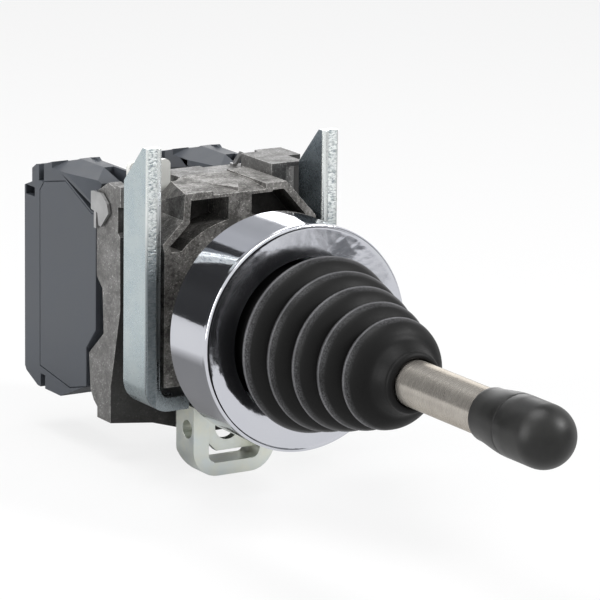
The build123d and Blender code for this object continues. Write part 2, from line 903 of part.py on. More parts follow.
# Contact blocks: two identical blocks side by side, one for each direction
housing_outline = [
    (block_front, -5.9),
    (block_front, block_top),
    (42.2, block_top),
    (43.0, block_top + block_crest_rise),
    (46.4, block_top - 0.2),
    (50.4, block_eaves),
    (53.0, 20.2),
    (54.6, 19.2),
    (54.6, 16.7),
    (block_rear, 15.6),
    (block_rear, -18.3),
    (block_rear - 0.6, -19.1),
    (52.5, block_bottom),
    (43.7, block_bottom),
    (34.1, -17.0),
    (34.1, -9.9),
]
cover_outline = [
    (block_front, -5.9),
    (block_front, 15.1),
    (32.3, 15.1),
    (41.9, 19.1),
    (50.0, 17.5),
    (51.6, 15.7),
    (51.6, -17.0),
    (40.2, -18.6),
    (34.1, -17.0),
    (34.1, -9.9),
]
cavity_outline = [
    (cavity_front, -5.2),
    (cavity_front, 14.0),
    (cavity_front + 3.0, cavity_half_h),
    (cavity_rear, cavity_half_h),
    (cavity_rear, -cavity_half_h),
    (35.6, -cavity_half_h),
    (35.6, -9.3),
]
# Dark strip in the left wall, along the cover's sloping edge
strip_outline = [
    (43.4, 20.2),
    (32.2, 15.5),
    (block_front, 15.5),
    (block_front, 16.6),
    (31.9, 16.6),
]
# Slots at the rear of the left wall, as centre and size
slot_places = [
    ((51.0, 21.5), (1.9, 8.2)),
    ((50.5, -21.5), (1.7, 6.0)),
    ((55.3, 14.9), (3.4, 1.7)),
]
# The wedge facet leans in from the strip's top to the eaves and runs out at the ridge
wedge_run = (0.0, 12.0, 4.3)
wedge_len = sqrt(wedge_run[1] ** 2 + wedge_run[2] ** 2)

parts = {
    "bezel": bezel,
    "panel_seal": panel_seal,
    "neck_barrel": neck_barrel,
    "pivot_pin": pivot_pin,
    "pivot_bushes": pivot_bushes,
    "boot": boot,
    "boot_ring": boot_ring,
    "lever_rod": lever_rod,
    "knob": knob,
    "lever_hub": lever_hub,
    "rocker_arm": rocker_arms,
    "guide_plate": guide_plate,
    "snap_ring": snap_ring,
    "pusher_left": pusher_left,
    "fixing_collar": fixing_collar,
    "locking_fork": locking_fork,
    "loop_bracket": loop_bracket,
    "contact_carrier": contact_carrier,
    "carrier_screws": carrier_screws,
    "latch_spring_left": latch_spring_left,
    "latch_spring_right": latch_spring_right,
}

for name, block_x in (("left", -block_pitch / 2), ("right", block_pitch / 2)):
    outer_x = block_x - block_w / 2

    # Housing: moulded case with a faceted roof, recessed for its cover and hollow inside
    with BuildPart() as housing:
        with BuildSketch(side(outer_x)):
            with BuildLine():
                Polyline(*housing_outline, close=True)
            make_face()
        extrude(amount=block_w)
        # The roof rises from the left wall and falls away beyond the spine
        with BuildSketch(facing(block_front)):
            with BuildLine():
                Polyline(
                    (outer_x, block_eaves),
                    (outer_x + block_roof_w, block_top),
                    (outer_x + block_spine_x, block_top),
                    (outer_x + block_spine_x, above_all),
                    (outer_x, above_all),
                    close=True,
                )
            make_face()
        extrude(amount=block_front - block_roof_rear, mode=Mode.SUBTRACT)
        with BuildSketch(facing(block_front)):
            with BuildLine():
                Polyline(
                    (outer_x + block_spine_x + block_spine_w, block_top),
                    (outer_x + block_w, block_far_eaves),
                    (outer_x + block_w, above_all),
                    (outer_x + block_spine_x + block_spine_w, above_all),
                    close=True,
                )
            make_face()
        extrude(amount=block_front - block_rear, mode=Mode.SUBTRACT)
        # Its front slopes down to the front wall, with a gutter beside the spine
        with BuildSketch(side(outer_x)):
            with BuildLine():
                Polyline(
                    (block_front, block_eaves),
                    (block_front + block_front_roof_len, block_top),
                    (block_front + block_front_roof_len, above_all),
                    (block_front, above_all),
                    close=True,
                )
            make_face()
        extrude(amount=block_roof_w, mode=Mode.SUBTRACT)
        with BuildSketch(side(outer_x + block_roof_w)):
            with BuildLine():
                Polyline(
                    (block_front, block_gutter_z),
                    (block_front + block_front_roof_len, block_gutter_z),
                    (block_front + block_front_roof_len, above_all),
                    (block_front, above_all),
                    close=True,
                )
            make_face()
        extrude(amount=block_spine_x - block_roof_w, mode=Mode.SUBTRACT)
        # Wedge facet along the top of the left wall
        with BuildSketch(facing(block_front)):
            with BuildLine():
                Polyline(
                    (outer_x, strip_outline[-1][1]),
                    (outer_x + block_wall, block_eaves),
                    (outer_x + block_wall, above_all),
                    (outer_x - block_wall, above_all),
                    (outer_x - block_wall, strip_outline[-1][1]),
                    close=True,
                )
            make_face()
        extrude(amount=wedge_len, dir=wedge_run, mode=Mode.SUBTRACT)
        with BuildSketch(side(outer_x)):
            with BuildLine():
                Polyline(*strip_outline, close=True)
            make_face()
        extrude(amount=block_wall, mode=Mode.SUBTRACT)
        with BuildSketch(side(outer_x)):
            with BuildLine():
                Polyline(*cover_outline, close=True)
            make_face()
            offset(amount=shell_gap, kind=Kind.INTERSECTION)
        extrude(amount=cover_t, mode=Mode.SUBTRACT)
        with BuildSketch(side(outer_x)):
            with BuildLine():
                Polyline(*cavity_outline, close=True)
            make_face()
        extrude(amount=block_w - block_wall, mode=Mode.SUBTRACT)
        with BuildSketch(side(outer_x)):
            for place, size in slot_places:
                with Locations(place):
                    Rectangle(*size)
        extrude(amount=2 * block_wall, mode=Mode.SUBTRACT)
        with BuildSketch(facing(block_front)):
            with Locations((block_x, 0)):
                Circle(plunger_r + fit_gap)
        extrude(amount=block_front - cavity_front, mode=Mode.SUBTRACT)
        with BuildSketch(facing(block_rear)):
            with Locations((block_x, terminal_z), (block_x, -terminal_z)):
                Circle(terminal_bore_r)
        extrude(amount=block_rear - cavity_rear, mode=Mode.SUBTRACT)
        with BuildSketch(Plane.XY.offset(-above_all)):
            with Locations((block_x, wire_hole_y)):
                Circle(wire_hole_r)
        extrude(amount=2 * above_all, mode=Mode.SUBTRACT)
    parts[f"block_housing_{name}"] = housing

    # Cover: the side plate of the case
    with BuildPart() as cover:
        with BuildSketch(side(outer_x)):
            with BuildLine():
                Polyline(*cover_outline, close=True)
            make_face()
        extrude(amount=cover_t)
    parts[f"block_cover_{name}"] = cover

    # Plunger: a round nose through the case's front and a square body with a window
    with BuildPart() as plunger:
        with BuildSketch(facing(plunger_front)):
            with Locations((block_x, 0)):
                Circle(plunger_r)
        extrude(amount=plunger_front - plunger_body_front)
        with BuildSketch(facing(plunger_body_front)):
            with Locations((block_x, 0)):
                Rectangle(2 * plunger_half_w, 2 * plunger_half_w)
        extrude(amount=plunger_body_front - plunger_rear)
        with BuildSketch(facing(bridge_y - fit_gap)):
            with Locations((block_x, 0)):
                Rectangle(2 * (bridge_half_w + fit_gap), 4 * plunger_half_w)
        extrude(amount=-bridge_t - 2 * fit_gap, mode=Mode.SUBTRACT)
    parts[f"plunger_{name}"] = plunger

    # Bridge contact: the bar that joins the two fixed contacts
    with BuildPart() as bridge_contact:
        with BuildSketch(facing(bridge_y)):
            with Locations((block_x, 0)):
                Rectangle(2 * bridge_half_w, 2 * bridge_half_h)
        extrude(amount=-bridge_t)
    parts[f"bridge_contact_{name}"] = bridge_contact

    # Fixed contacts and terminal clamps: an upper and a lower one, bored for the screws
    for label, front, thickness, half_w, end_z in (
        ("fixed_contacts", strip_y, strip_t, strip_half_w, strip_end_z),
        ("terminal_clamps", clamp_y, clamp_t, clamp_half_w, clamp_end_z),
    ):
        centre = (end_z + cavity_half_h) / 2
        with BuildPart() as plates:
            with BuildSketch(facing(front)):
                with Locations((block_x, centre), (block_x, -centre)):
                    Rectangle(2 * half_w, cavity_half_h - end_z)
                with Locations((block_x, terminal_z), (block_x, -terminal_z)):
                    Circle(terminal_shank_r + fit_gap, mode=Mode.SUBTRACT)
            extrude(amount=-thickness)
        parts[f"{label}_{name}"] = plates

    # Terminal screws, with their heads in the bores of the case's rear wall
    with BuildPart() as terminal_screws:
        for z in (terminal_z, -terminal_z):
            with BuildSketch(facing(strip_y - terminal_tip)):
                with Locations((block_x, z)):
                    Circle(terminal_shank_r)
            extrude(amount=strip_y - terminal_tip - cavity_rear)
            with BuildSketch(facing(cavity_rear)):
                with Locations((block_x, z)):
                    Circle(terminal_head_r)
            extrude(amount=-terminal_head_t)
    parts[f"terminal_screws_{name}"] = terminal_screws

    # Return spring between the plunger and the case's rear wall
    with BuildPart() as plunger_spring:
        coil_length = spring_room - 2 * spring_wire_r
        with BuildLine() as coil:
            Helix(
                pitch=coil_length / spring_turns,
                height=coil_length,
                radius=spring_r,
                center=(block_x, plunger_rear + spring_wire_r, 0),
                direction=(0, 1, 0),
            )
        with BuildSketch(coil.line ^ 0):
            Circle(spring_wire_r)
        sweep(path=coil.line, is_frenet=True)
    parts[f"plunger_spring_{name}"] = plunger_spring

# The second pusher is the first one turned half a turn about the lever axis
with BuildPart() as pusher_right:
    add(pusher_left.part.rotate(Axis.Y, 180))
parts["pusher_right"] = pusher_right

os.makedirs("parts", exist_ok=True)
for name, piece in parts.items():
    piece.part.label = name
    export_step(piece.part, f"parts/{name}.step")
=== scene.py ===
import json
import math

import bmesh
import bpy
from mathutils import Matrix, Vector


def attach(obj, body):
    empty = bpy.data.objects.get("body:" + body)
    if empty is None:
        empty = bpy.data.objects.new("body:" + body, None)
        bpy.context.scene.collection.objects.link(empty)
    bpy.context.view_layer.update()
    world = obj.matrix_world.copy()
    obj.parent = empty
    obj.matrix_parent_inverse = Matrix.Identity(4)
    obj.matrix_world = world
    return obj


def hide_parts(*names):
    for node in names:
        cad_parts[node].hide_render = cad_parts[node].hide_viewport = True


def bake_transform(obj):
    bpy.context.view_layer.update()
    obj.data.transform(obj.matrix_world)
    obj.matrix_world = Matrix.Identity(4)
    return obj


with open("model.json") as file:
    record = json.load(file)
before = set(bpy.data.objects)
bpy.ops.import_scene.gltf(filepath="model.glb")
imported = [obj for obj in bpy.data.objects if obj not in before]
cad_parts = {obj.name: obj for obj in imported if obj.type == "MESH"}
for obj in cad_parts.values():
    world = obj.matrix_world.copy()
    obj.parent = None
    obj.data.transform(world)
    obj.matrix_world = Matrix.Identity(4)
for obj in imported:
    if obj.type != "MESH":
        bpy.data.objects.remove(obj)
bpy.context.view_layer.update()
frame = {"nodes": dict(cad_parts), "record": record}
mm = 0.001


# The studio: a pale floor under the switch, a white room, and soft lamps above and to the left.
# The camera stands to the left of the lever and a little above it.
def put(tree, kind, inputs=None, **settings):
    """Adds a node to a tree; an input is either a plain value or the socket that feeds it."""
    node = tree.nodes.new(kind)
    for key, value in settings.items():
        setattr(node, key, value)
    for key, value in (inputs or {}).items():
        if isinstance(value, bpy.types.NodeSocket):
            tree.links.new(value, node.inputs[key])
        else:
            node.inputs[key].default_value = value
    return node


def sum_of(tree, operation, *values):
    """The result of one calculation in a node tree, such as ADD, POWER or COSINE."""
    return put(tree, "ShaderNodeMath", dict(enumerate(values)), operation=operation).outputs[0]


# The view was solved from the bezel's two rims, the lever's axis and the fork. Its lengths are in mm.
azimuth, elevation, roll = math.radians(-31.56), math.radians(13.533), math.radians(0.795)
camera_distance, lens, film_width = 724.4, 254.07, 36
rim_centre = Vector((0, -12.54, 0))
aim_right, aim_up = -1.219, 6.637
level_back = Vector((math.sin(azimuth), -math.cos(azimuth), 0))
view_back = level_back * math.cos(elevation) + Vector((0, 0, math.sin(elevation)))
level_right = Vector((math.cos(azimuth), math.sin(azimuth), 0))
level_up = view_back.cross(level_right)
view_right = math.cos(roll) * level_right + math.sin(roll) * level_up
view_up = view_back.cross(view_right)
aim = rim_centre + aim_right * level_right + aim_up * level_up
facing = Matrix((view_right, view_up, view_back)).transposed().to_4x4()
camera = bpy.data.objects.new("camera", bpy.data.cameras.new("camera"))
camera.data.sensor_width = film_width
camera.data.lens = lens
camera.data.clip_start = 0.02
camera.matrix_world = Matrix.Translation((aim + camera_distance * view_back) * mm) @ facing
bpy.context.scene.collection.objects.link(camera)
bpy.context.scene.camera = camera
bpy.context.scene.view_settings.view_transform = "Standard"

# The room is white to the camera and in mirrors, and gives only a weak light of its own.
room = bpy.data.worlds.new("room")
room.use_nodes = True
room.node_tree.nodes.clear()
bpy.context.scene.world = room
rays = put(room.node_tree, "ShaderNodeLightPath")
seen = sum_of(room.node_tree, "MAXIMUM", rays.outputs["Is Camera Ray"], rays.outputs["Is Transmission Ray"])
seen = sum_of(room.node_tree, "MAXIMUM", seen, rays.outputs["Is Glossy Ray"])
white = put(room.node_tree, "ShaderNodeBackground", {"Color": (1, 1, 1, 1), "Strength": 1.0})
fill = put(room.node_tree, "ShaderNodeBackground", {"Color": (0.95, 0.97, 1, 1), "Strength": 0.16})
mix = put(room.node_tree, "ShaderNodeMixShader", {0: seen, 1: fill.outputs[0], 2: white.outputs[0]})
put(room.node_tree, "ShaderNodeOutputWorld", {0: mix.outputs[0]})

# The floor is nearly white to the camera, and darker in mirrors near the switch, where its shadow would lie.
floor_z, floor_half = -29.2 * mm, 6
dark_spot, dark_r, dark_edge = (-0.015, 0.05, floor_z), 0.032, 0.055
floor_corners = [(x * floor_half, y * floor_half, floor_z) for x, y in ((-1, -1), (1, -1), (1, 1), (-1, 1))]
floor_mesh = bpy.data.meshes.new("floor")
floor_mesh.from_pydata(floor_corners, [], [(0, 1, 2, 3)])
floor = bpy.data.objects.new("floor", floor_mesh)
bpy.context.scene.collection.objects.link(floor)
paper = bpy.data.materials.new("floor_paper")
paper.use_nodes = True
tree = paper.node_tree
tree.nodes.clear()
rays = put(tree, "ShaderNodeLightPath")
matt = put(tree, "ShaderNodeBsdfDiffuse", {"Color": (0.86, 0.86, 0.86, 1)})
spot = put(tree, "ShaderNodeTexCoord").outputs["Object"]
under = put(tree, "ShaderNodeVectorMath", {0: spot, 1: dark_spot}, operation="DISTANCE").outputs["Value"]
shade = put(tree, "ShaderNodeMapRange", {0: under, 1: dark_r, 2: dark_edge, 3: 0.75, 4: 0.05}).outputs[0]
shade = sum_of(tree, "MULTIPLY", shade, rays.outputs["Is Glossy Ray"])
bright = sum_of(tree, "SUBTRACT", 1.0, shade)
glow = put(tree, "ShaderNodeEmission", {"Color": (1, 1, 1, 1), "Strength": bright})
share = sum_of(tree, "MULTIPLY", rays.outputs["Is Glossy Ray"], 0.9)
share = sum_of(tree, "ADD", share, sum_of(tree, "MULTIPLY", rays.outputs["Is Camera Ray"], 0.8))
mix = put(tree, "ShaderNodeMixShader", {0: share, 1: matt.outputs[0], 2: glow.outputs[0]})
put(tree, "ShaderNodeOutputMaterial", {0: mix.outputs[0]})
floor_mesh.materials.append(paper)


def softbox(name, place, width, height, watts):
    """A square or oblong lamp, aimed at the middle of the panel hole."""
    lamp = bpy.data.objects.new(name, bpy.data.lights.new(name, "AREA"))
    lamp.data.shape = "RECTANGLE"
    lamp.data.size = width
    lamp.data.size_y = height
    lamp.data.energy = watts
    aimed = Vector(place).to_track_quat("Z", "Y").to_matrix().to_4x4()
    lamp.matrix_world = Matrix.Translation(place) @ aimed
    bpy.context.scene.collection.objects.link(lamp)


softbox("lamp_top", (-0.10, 0.10, 0.55), 0.4, 0.4, 2.5)
softbox("lamp_left", (-0.58, 0.10, 0.16), 0.3, 0.45, 2.3)
softbox("lamp_front", (0.43, -0.43, 0.44), 0.16, 0.16, 3.6)
softbox("lamp_rear", (0.62, 1.2, 0.18), 0.6, 0.7, 2.6)


def card(name, tone, x, y, z):
    """A card in the room for the metal to mirror. It throws no shadow, and no camera sees it.
    Each of x, y and z is its low and its high end: a level card has one z, and an upright one has one y."""
    if len(set(z)) == 1:
        corners = [(x[0], y[0], z[0]), (x[1], y[0], z[0]), (x[1], y[1], z[0]), (x[0], y[1], z[0])]
    else:
        corners = [(x[0], y[0], z[0]), (x[1], y[0], z[0]), (x[1], y[0], z[1]), (x[0], y[0], z[1])]
    mesh = bpy.data.meshes.new(name)
    mesh.from_pydata(corners, [], [(0, 1, 2, 3)])
    board = bpy.data.objects.new(name, mesh)
    bpy.context.scene.collection.objects.link(board)
    paper = bpy.data.materials.new(name + "_paper")
    paper.use_nodes = True
    tree = paper.node_tree
    tree.nodes.clear()
    place = put(tree, "ShaderNodeTexCoord").outputs["Object"]
    cloud = put(tree, "ShaderNodeTexNoise", {"Vector": place, "Scale": 2.0}).outputs[0]
    patches = {0: cloud, 1: 0.3, 2: 0.7, 3: 0.8 * tone, 4: 1.2 * tone}
    level = put(tree, "ShaderNodeMapRange", patches).outputs[0]
    glow = put(tree, "ShaderNodeEmission", {"Color": (0.95, 0.97, 1, 1), "Strength": level})
    put(tree, "ShaderNodeOutputMaterial", {0: glow.outputs[0]})
    mesh.materials.append(paper)
    board.visible_camera = False
    board.visible_diffuse = False
    board.visible_shadow = False
    board.visible_transmission = False


card("card_left", 0.05, x=(-3.0, -0.10), y=(1.2, 1.2), z=(floor_z, 0.95))
card("card_high", 0.55, x=(-0.10, 0.80), y=(1.2, 1.2), z=(0.56, 2.2))
card("card_top", 0.06, x=(-0.6, 0.6), y=(0.05, 0.8), z=(0.8, 0.8))
card("card_right", 0.22, x=(0.115, 0.5), y=(-0.20, -0.20), z=(floor_z, 0.12))


# The bezel: a die-cast ring, polished and chrome plated all over. It sits on the neck in front of the panel.
# A thin bead runs round its nearly flat face, and the boot comes out of the throat.
def turned(name, profile, around=256, sharp=32):
    """A form turned round the lever's axis from (radius, y) points in mm, smooth but for sharp corners."""
    bm = bmesh.new()
    rings = []
    for r, y in profile:
        if r < 1e-6:
            rings.append([bm.verts.new((0, y * mm, 0))] * around)
            continue
        angles = [math.tau * i / around for i in range(around)]
        rings.append([bm.verts.new((r * mm * math.cos(a), y * mm, r * mm * math.sin(a))) for a in angles])
    for a, b in zip(rings, rings[1:]):
        for i in range(around):
            j = (i + 1) % around
            corners = []
            for v in (a[i], a[j], b[j], b[i]):
                if v not in corners:
                    corners.append(v)
            if len(corners) > 2:
                bm.faces.new(corners)
    bmesh.ops.remove_doubles(bm, verts=bm.verts, dist=1e-7)
    bmesh.ops.recalc_face_normals(bm, faces=bm.faces)
    mesh = bpy.data.meshes.new(name)
    bm.to_mesh(mesh)
    bm.free()
    mesh.shade_smooth()
    mesh.set_sharp_from_angle(angle=math.radians(sharp))
    piece = bpy.data.objects.new(name, mesh)
    bpy.context.scene.collection.objects.link(piece)
    return piece


def arc(centre, r, start, end, steps):
    """Points of an arc in the (radius, y) plane, angles in degrees."""
    angles = [math.radians(start + (end - start) * i / steps) for i in range(steps + 1)]
    return [(centre[0] + r * math.cos(a), centre[1] + r * math.sin(a)) for a in angles]


def finish(name, colour, metallic=0.0, roughness=0.5, **shader):
    """A material with one shader, whose plain values are set on its sockets, and the object coordinates."""
    material = bpy.data.materials.new(name)
    material.use_nodes = True
    tree = material.node_tree
    tree.nodes.clear()
    body = put(tree, "ShaderNodeBsdfPrincipled", {"Metallic": metallic, "Roughness": roughness})
    body.inputs["Base Color"].default_value = (*colour, 1)
    for key, value in shader.items():
        body.inputs[key.replace("_", " ")].default_value = value
    put(tree, "ShaderNodeOutputMaterial", {0: body.outputs[0]})
    place = put(tree, "ShaderNodeTexCoord").outputs["Object"]
    return material, tree, body, place


def grain(tree, place, size_mm, detail=3.0, stretch=(1, 1, 1), rough=0.5):
    """Noise whose grains are about size_mm across, drawn out along an axis where stretch is below 1."""
    mapped = put(tree, "ShaderNodeMapping", {"Vector": place, "Scale": stretch}).outputs[0]
    scale = 1000.0 / size_mm
    given = {"Vector": mapped, "Scale": scale, "Detail": detail, "Roughness": rough}
    return put(tree, "ShaderNodeTexNoise", given).outputs[0]


def spread(tree, value, low, high, to_low, to_high):
    """A value moved from one range to another and held inside it."""
    given = {0: value, 1: low, 2: high, 3: to_low, 4: to_high}
    return put(tree, "ShaderNodeMapRange", given).outputs[0]


def tint(tree, factor, dark, light):
    """A colour between two, by a factor."""
    given = {"Factor": factor, 6: (*dark, 1), 7: (*light, 1)}
    return put(tree, "ShaderNodeMix", given, data_type="RGBA").outputs[2]


def relief(tree, body, height, depth_mm):
    """Feeds a height into the shader's normal, as a bump depth_mm high."""
    bump = put(tree, "ShaderNodeBump", {"Height": height, "Distance": depth_mm * mm, "Strength": 1.0})
    tree.links.new(bump.outputs[0], body.inputs["Normal"])


bezel_r, bezel_front, bezel_rear, throat_r = 20.0, -12.5, -0.4, 14.3
skirt_bore_r, skirt_depth, corner = 18.4, -7.6, 0.15
bead_r, bead_turn = 0.38, -118
face_edge, face_front, face_rise, face_steps = 19.10, -12.408, 0.15, 12
throat_edge = throat_r + 0.2
bead_centre = (bezel_r - bead_r, bezel_front + bead_r)
skirt_top = bezel_rear - corner
cove = [(19.36, -12.425), (19.24, -12.41)]
face_shares = [i / face_steps for i in range(face_steps + 1)]
face = [(face_edge + (throat_edge - face_edge) * t, face_front - face_rise * t ** 1.1) for t in face_shares]
throat_lip = [(throat_r + 0.05, -12.58), (throat_r, -12.52)]
bezel = turned(
    "bezel_chrome",
    [(skirt_bore_r, bezel_rear), (bezel_r - corner, bezel_rear), (bezel_r, skirt_top)]
    + [(bezel_r, skirt_top + (bead_centre[1] - skirt_top) * i / 8) for i in range(1, 8)]
    + arc(bead_centre, bead_r, 0, bead_turn, 20)
    + cove
    + face
    + throat_lip
    + [(throat_r, skirt_depth), (skirt_bore_r, skirt_depth), (skirt_bore_r, bezel_rear)],
    around=360,
)
chrome, tree, body, place = finish("chrome", (0.60, 0.61, 0.65), metallic=1.0, roughness=0.05)
forward = put(tree, "ShaderNodeSeparateXYZ", {0: place}).outputs[1]
on_face = spread(tree, forward, -12.0 * mm, -11.3 * mm, 1.0, 0.0)
smears = grain(tree, place, 9.0, detail=4)
hairs = grain(tree, place, 0.22, detail=2, stretch=(1, 0.08, 1))
rough = spread(tree, smears, 0.35, 0.75, 0.03, 0.10)
rough = sum_of(tree, "ADD", rough, spread(tree, hairs, 0.45, 0.8, 0.0, 0.06))
face_rough = sum_of(tree, "MULTIPLY", on_face, spread(tree, smears, 0.4, 0.65, 0.02, 0.12))
rough = sum_of(tree, "ADD", rough, face_rough)
tree.links.new(rough, body.inputs["Roughness"])
tree.links.new(tint(tree, smears, (0.56, 0.57, 0.62), (0.64, 0.65, 0.69)), body.inputs["Base Color"])
ripple = sum_of(tree, "MULTIPLY", grain(tree, place, 3.5, detail=2, rough=0.4), on_face)
relief(tree, body, sum_of(tree, "ADD", ripple, sum_of(tree, "MULTIPLY", hairs, 0.02)), 0.09)
bezel.data.materials.append(chrome)
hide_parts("bezel")
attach(bezel, "head")


# The boot: moulded black rubber, five folds that taper to a lip on the lever, with a fine
# mould line round every crest. It is clamped in the bezel and grips the rod.
def sheet_of(tree, name, inputs):
    """Starts a node group whose inputs have the given names, kinds and values."""
    tree.interface.new_socket("Geometry", in_out="INPUT", socket_type="NodeSocketGeometry")
    tree.interface.new_socket("Geometry", in_out="OUTPUT", socket_type="NodeSocketGeometry")
    for label, kind, value in inputs:
        socket = tree.interface.new_socket(label, in_out="INPUT", socket_type=kind)
        if value is not None:
            socket.default_value = value
    return put(tree, "NodeGroupInput").outputs


def grown(name, tree, **values):
    """Runs a node group with values for its named inputs, and gives the result as a plain mesh object."""
    seed = bpy.data.objects.new(name + "_seed", bpy.data.meshes.new(name + "_seed"))
    bpy.context.scene.collection.objects.link(seed)
    modifier = seed.modifiers.new("growth", "NODES")
    modifier.node_group = tree
    for item in tree.interface.items_tree:
        if item.in_out == "INPUT" and item.name in values:
            modifier[item.identifier] = values[item.name]
    bpy.context.view_layer.update()
    graph = bpy.context.evaluated_depsgraph_get()
    mesh = bpy.data.meshes.new_from_object(seed.evaluated_get(graph), depsgraph=graph)
    mesh.name = name
    bpy.data.objects.remove(seed)
    piece = bpy.data.objects.new(name, mesh)
    bpy.context.scene.collection.objects.link(piece)
    return piece


rubber, tree, body, place = finish("black_rubber", (0.014, 0.014, 0.015), Specular_IOR_Level=0.15)
fine = grain(tree, place, 0.28, detail=3)
cloud = grain(tree, place, 6.0, detail=4)
crest = put(tree, "ShaderNodeAttribute", attribute_name="crest").outputs["Fac"]
# Partly dust, partly a painted highlight: a grainy, patchy band just in front of each crest is painted
# lighter.
dust_and_highlight = spread(tree, crest, 0.91, 1.0, 0.0, 0.3)
dust_and_highlight = sum_of(tree, "MULTIPLY", dust_and_highlight, spread(tree, fine, 0.36, 0.62, 0.1, 1.0))
dust_and_highlight = sum_of(tree, "MULTIPLY", dust_and_highlight, spread(tree, cloud, 0.35, 0.65, 0.35, 1.4))
# A painted highlight on every mould line: a thin light line along the top of each crest.
dust_and_highlight = sum_of(tree, "ADD", dust_and_highlight, spread(tree, crest, 0.9985, 0.9999, 0.0, 0.45))
# The rubber's black, and the light colour of the crests' dust and painted highlight.
black, dusty_highlight = (0.0055, 0.0055, 0.0055), (0.20, 0.20, 0.21)
tree.links.new(tint(tree, dust_and_highlight, black, dusty_highlight), body.inputs["Base Color"])
patches, grains = spread(tree, cloud, 0.3, 0.7, 0.44, 0.58), spread(tree, fine, 0.3, 0.7, -0.05, 0.05)
tree.links.new(sum_of(tree, "ADD", patches, grains), body.inputs["Roughness"])
relief(tree, body, fine, 0.02)

folds = bpy.data.node_groups.new("boot_folds", "GeometryNodeTree")
start, last_fold, end = -1.45, 4.0, 5.32
given = sheet_of(folds, "boot_folds", [
    ("Folds", "NodeSocketFloat", last_fold),
    ("First crest radius", "NodeSocketFloat", 15.35 * mm),
    ("Crest step", "NodeSocketFloat", -1.45 * mm),
    ("First crest place", "NodeSocketFloat", -17.2 * mm),
    ("Pitch", "NodeSocketFloat", -5.6 * mm),
    ("Fold depth", "NodeSocketFloat", 2.8 * mm),
    ("Mould line", "NodeSocketFloat", 0.10 * mm),
    ("Lean", "NodeSocketFloat", 1.5),
    ("Starts at", "NodeSocketFloat", start),
    ("Ends at", "NodeSocketFloat", end),
    ("Rubber", "NodeSocketMaterial", None),
])
# A flat sheet of points is rolled up: its x counts the folds, and its y is the turn round the lever's axis.
sizes = {"Size X": 1.0, "Size Y": 1.0, "Vertices X": 262, "Vertices Y": 161}
sheet = put(folds, "GeometryNodeMeshGrid", sizes)
where = put(folds, "ShaderNodeSeparateXYZ", {0: put(folds, "GeometryNodeInputPosition").outputs[0]})
along = spread(folds, where.outputs[0], -0.5, 0.5, given["Starts at"], given["Ends at"])
turn = sum_of(folds, "MULTIPLY", sum_of(folds, "ADD", where.outputs[1], 0.5), math.tau)
# Each fold is a leaning half wave, cut below the taper that joins the crests.
first_valley, roundness = -0.37, 0.85
reach = sum_of(folds, "MAXIMUM", along, first_valley)
within = sum_of(folds, "POWER", sum_of(folds, "FRACT", reach), given["Lean"])
swing = sum_of(folds, "ABSOLUTE", sum_of(folds, "COSINE", sum_of(folds, "MULTIPLY", within, math.pi)))
in_folds = sum_of(folds, "LESS_THAN", along, given["Folds"])
cut = sum_of(folds, "SUBTRACT", 1.0, sum_of(folds, "POWER", swing, roundness))
cut = sum_of(folds, "MULTIPLY", sum_of(folds, "MULTIPLY", cut, given["Fold depth"]), in_folds)
crests_passed = sum_of(folds, "MINIMUM", reach, given["Folds"])
taper = sum_of(folds, "MULTIPLY_ADD", crests_passed, given["Crest step"], given["First crest radius"])
# Past the last crest a dome closes in on the rod, with a step and a short neck.
past = spread(folds, along, last_fold, end, 0.0, 1.0)
dome = put(folds, "ShaderNodeFloatCurve", {1: past})
line = dome.mapping.curves[0]
line.points[0].location = (0.0, 1.0)
line.points[1].location = (1.0, 0.452)
shoulder = ((0.10, 0.985), (0.20, 0.945), (0.30, 0.88), (0.38, 0.80), (0.44, 0.715))
neck = ((0.48, 0.68), (0.56, 0.64), (0.68, 0.595), (0.82, 0.56), (0.94, 0.54))
for x, y in shoulder + neck:
    line.points.new(x, y)
dome.mapping.update()
radius = sum_of(folds, "MULTIPLY", sum_of(folds, "SUBTRACT", taper, cut), dome.outputs[0])
# The mould line is a fine ridge on every crest.
off = sum_of(folds, "ABSOLUTE", sum_of(folds, "SUBTRACT", along, sum_of(folds, "ROUND", along)))
ridge = spread(folds, off, 0.0, 0.03, given["Mould line"], 0.0)
from_middle = sum_of(folds, "ABSOLUTE", sum_of(folds, "SUBTRACT", along, last_fold / 2))
ridge = sum_of(folds, "MULTIPLY", ridge, sum_of(folds, "LESS_THAN", from_middle, last_fold / 2 + 0.4))
radius = sum_of(folds, "ADD", radius, ridge)
rolled_up = put(folds, "ShaderNodeCombineXYZ", {
    0: sum_of(folds, "MULTIPLY", radius, sum_of(folds, "COSINE", turn)),
    1: sum_of(folds, "MULTIPLY_ADD", along, given["Pitch"], given["First crest place"]),
    2: sum_of(folds, "MULTIPLY", radius, sum_of(folds, "SINE", turn)),
})
on_crest = sum_of(folds, "MULTIPLY", swing, sum_of(folds, "LESS_THAN", along, last_fold + 0.4))
marking = {"Geometry": sheet.outputs[0], "Name": "crest", "Value": on_crest}
marked = put(folds, "GeometryNodeStoreNamedAttribute", marking, data_type="FLOAT", domain="POINT")
placing = {"Geometry": marked.outputs[0], "Position": rolled_up.outputs[0]}
placed = put(folds, "GeometryNodeSetPosition", placing)
joined = put(folds, "GeometryNodeMergeByDistance", {"Geometry": placed.outputs[0], "Distance": 0.002 * mm})
smooth = put(folds, "GeometryNodeSetShadeSmooth", {"Geometry": joined.outputs[0], "Shade Smooth": True})
real = put(folds, "GeometryNodeRealizeInstances", {"Geometry": smooth.outputs[0]})
dressed = put(folds, "GeometryNodeSetMaterial", {"Geometry": real.outputs[0], "Material": given["Rubber"]})
put(folds, "NodeGroupOutput", {0: dressed.outputs[0]})
boot = grown("boot_bellows", folds, Rubber=rubber)
bm = bmesh.new()
bm.from_mesh(boot.data)
bmesh.ops.recalc_face_normals(bm, faces=bm.faces)
